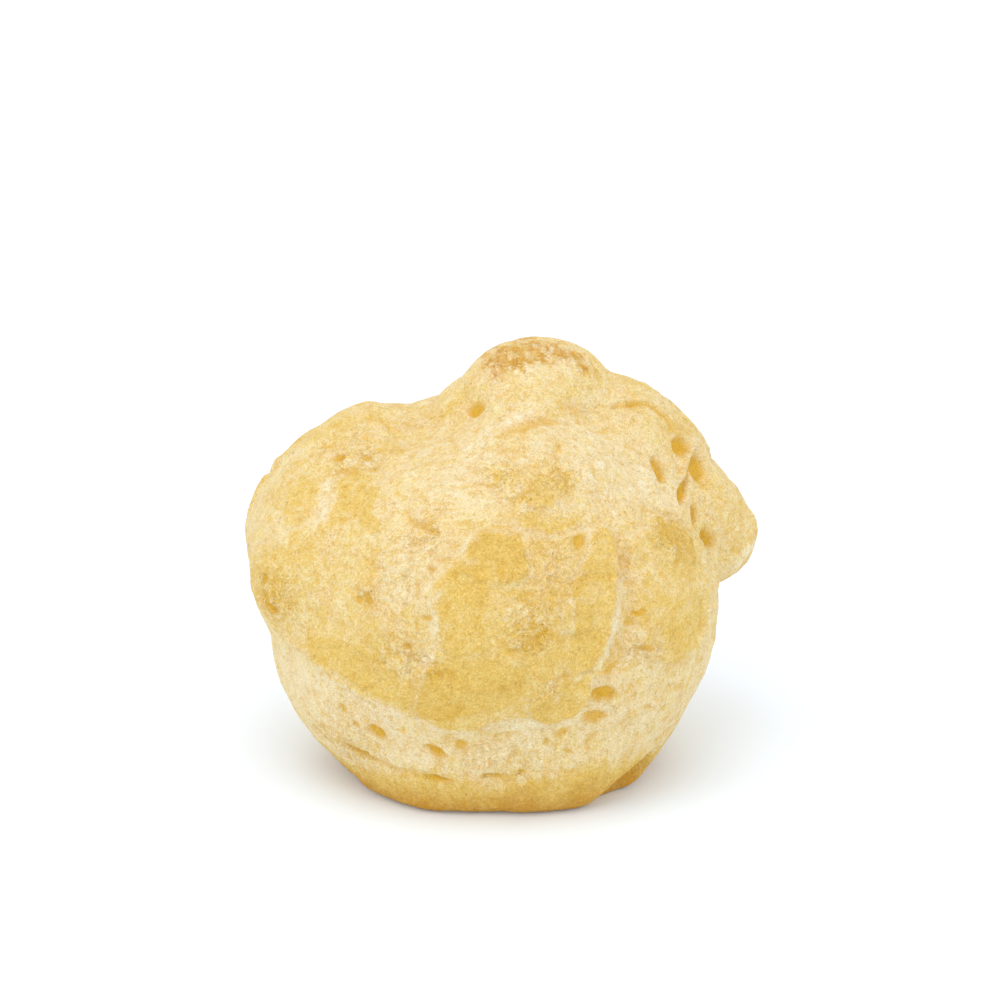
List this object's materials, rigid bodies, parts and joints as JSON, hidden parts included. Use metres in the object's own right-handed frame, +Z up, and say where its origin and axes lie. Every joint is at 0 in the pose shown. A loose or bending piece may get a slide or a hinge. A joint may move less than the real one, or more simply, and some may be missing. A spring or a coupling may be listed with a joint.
{
  "type": "cream puff",
  "caption": "Uncut baked choux bun with a knobbly browned crown, cracked crust plates, a pale stretched belt and a flat base.",
  "frame": {"origin": "on the ground under the middle of the bun's bounding box", "axes": "+Z up, -Y towards the shown front, +X towards the side with the torn ear"},
  "size_m": [0.0751, 0.0707, 0.0639],
  "materials": {
    "baked_choux": "dry, crisp, matt pale-gold crust"
  },
  "bodies": {
    "root": {"choux_bun": "baked_choux"}
  },
  "joints": []
}
